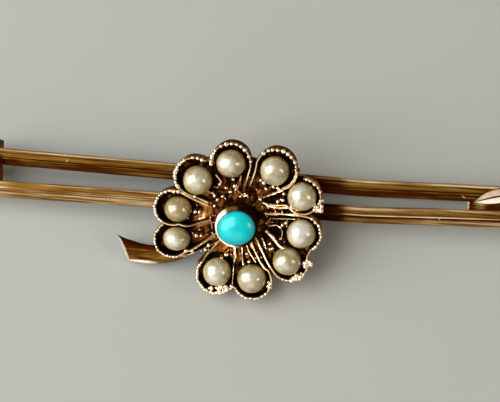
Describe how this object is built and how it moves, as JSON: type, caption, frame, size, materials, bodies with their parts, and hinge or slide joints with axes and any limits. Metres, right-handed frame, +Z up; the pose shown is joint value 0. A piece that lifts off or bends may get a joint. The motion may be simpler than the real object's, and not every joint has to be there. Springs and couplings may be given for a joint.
{
  "type": "bar brooch",
  "caption": "Gold bar brooch: parallel bars with leaf ends carry a scalloped flower of pearls in cups round a domed cabochon, with a curved stem, pin and catch.",
  "frame": {"origin": "centre of the bottom of the bounding box, on the surface that the brooch rests on", "axes": "+X along the bars, from the hinge end to the catch end; +Z up from the surface; the face points up and toward -Y, because the brooch lies rolled about 30 degrees forward on its hinge, its catch and the flower's edge"},
  "size_m": [0.048, 0.0124, 0.0082],
  "materials": {
    "gold": "aged and softly worn, dark in the recesses",
    "pin_gold": "aged and softly worn, dark in the recesses",
    "pearl": "soft pearl lustre",
    "turquoise": "polished dome"
  },
  "bodies": {
    "root": {"gold_frame": "gold", "pin": "pin_gold", "cabochon": "turquoise", "pearl_1": "pearl", "pearl_2": "pearl", "pearl_3": "pearl", "pearl_4": "pearl", "pearl_5": "pearl", "pearl_6": "pearl", "pearl_7": "pearl", "pearl_8": "pearl", "pearl_9": "pearl", "pearl_10": "pearl"}
  },
  "joints": []
}
